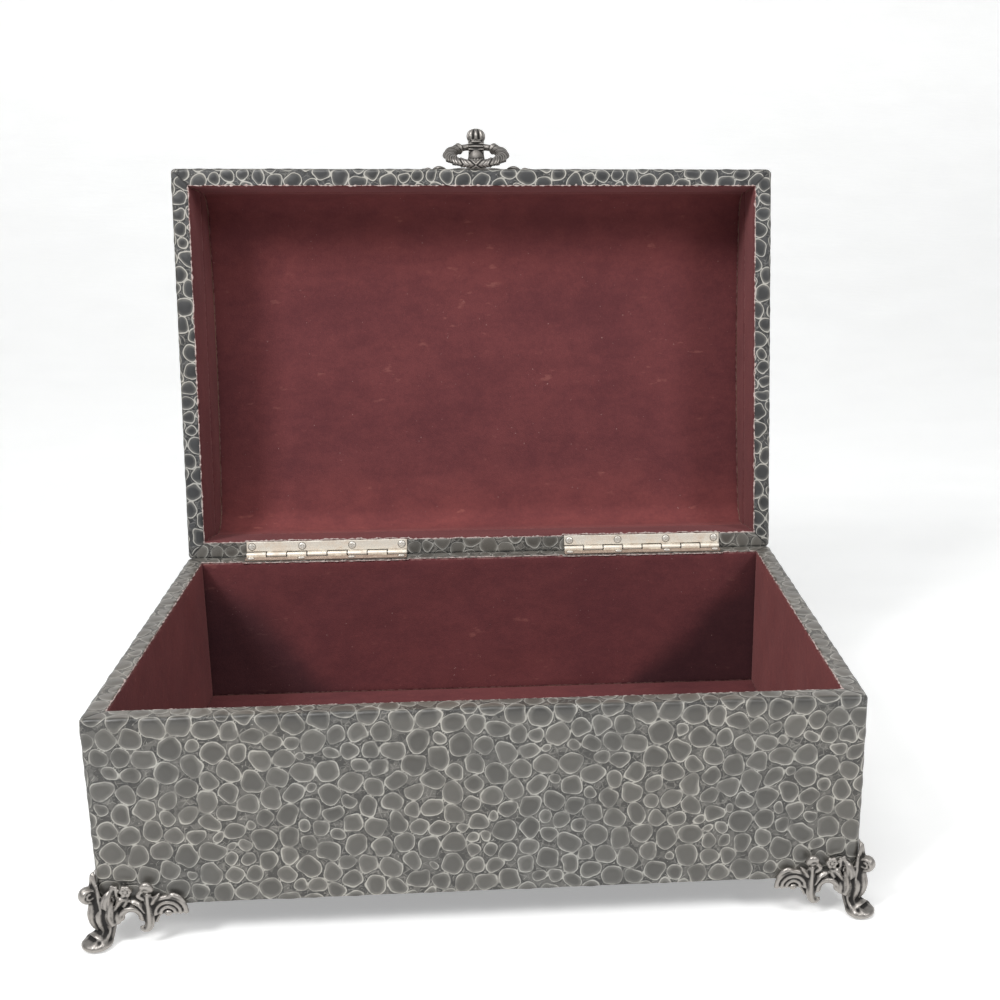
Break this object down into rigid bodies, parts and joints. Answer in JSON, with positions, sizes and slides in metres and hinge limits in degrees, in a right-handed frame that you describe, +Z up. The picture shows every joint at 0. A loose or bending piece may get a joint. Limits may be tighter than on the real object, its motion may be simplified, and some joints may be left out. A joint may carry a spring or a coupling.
{
  "type": "jewelry chest",
  "caption": "Domed jewelry chest on cast corner feet, embossed covering outside, velvet inside, hinged lid with stop and a ring pull that swings.",
  "frame": {"origin": "on the floor, halfway across the width, and halfway between the front of the feet and the back of the open lid", "axes": "+X to the right seen from the front, +Y from the front to the hinges, +Z up"},
  "size_m": [0.386, 0.3442, 0.3756],
  "materials": {
    "embossed_leather": "dark grey reptile-grain embossing with worn pale ridges, satin",
    "velvet": "wine-red cotton velvet, short pile",
    "casing_board": "raw thin board, hidden under covering and lining",
    "underside_felt": "thin black felt sheet",
    "antique_pewter": "cast, darkened in the hollows and rubbed bright on the high places",
    "hinge_metal": "pale nickel plate, slightly yellowed"
  },
  "bodies": {
    "base": {"base_back_board": "casing_board", "base_covering": "embossed_leather", "base_floor_board": "casing_board", "base_front_board": "casing_board", "base_hinge_screws": "hinge_metal", "base_left_board": "casing_board", "base_lining_back": "velvet", "base_lining_floor": "velvet", "base_lining_front": "velvet", "base_lining_left": "velvet", "base_lining_right": "velvet", "base_right_board": "casing_board", "base_underside_sheet": "underside_felt", "foot_back_left": "antique_pewter", "foot_back_right": "antique_pewter", "foot_front_left": "antique_pewter", "foot_front_right": "antique_pewter", "foot_pins": "hinge_metal", "hinge_left_base_leaf": "hinge_metal", "hinge_left_pin": "hinge_metal", "hinge_right_base_leaf": "hinge_metal", "hinge_right_pin": "hinge_metal"},
    "lid": {"backplate_pins": "antique_pewter", "hinge_left_lid_leaf": "hinge_metal", "hinge_right_lid_leaf": "hinge_metal", "lid_back_rail": "casing_board", "lid_dome_covering": "embossed_leather", "lid_dome_panel": "casing_board", "lid_front_rail": "casing_board", "lid_hinge_screws": "hinge_metal", "lid_left_end_board": "casing_board", "lid_left_end_covering": "embossed_leather", "lid_lining_back": "velvet", "lid_lining_dome": "velvet", "lid_lining_front": "velvet", "lid_lining_left": "velvet", "lid_lining_left_end": "velvet", "lid_lining_right": "velvet", "lid_lining_right_end": "velvet", "lid_right_end_board": "casing_board", "lid_right_end_covering": "embossed_leather", "pull_backplate": "antique_pewter", "pull_nut": "hinge_metal", "pull_post": "antique_pewter", "pull_washer": "hinge_metal"},
    "ring": {"pull_ring": "antique_pewter"}
  },
  "joints": [
    {"name": "lid_hinge", "type": "hinge", "parent": "base", "child": "lid", "pos_m": [0, 0.07371, 0.1186], "axis": [1, 0, 0], "range_deg": [0, 99.5]},
    {"name": "ring_swing", "type": "hinge", "parent": "lid", "child": "ring", "pos_m": [0, 0.14419, 0.36447], "axis": [-1, 0, 0], "range_deg": [0, 235]}
  ]
}
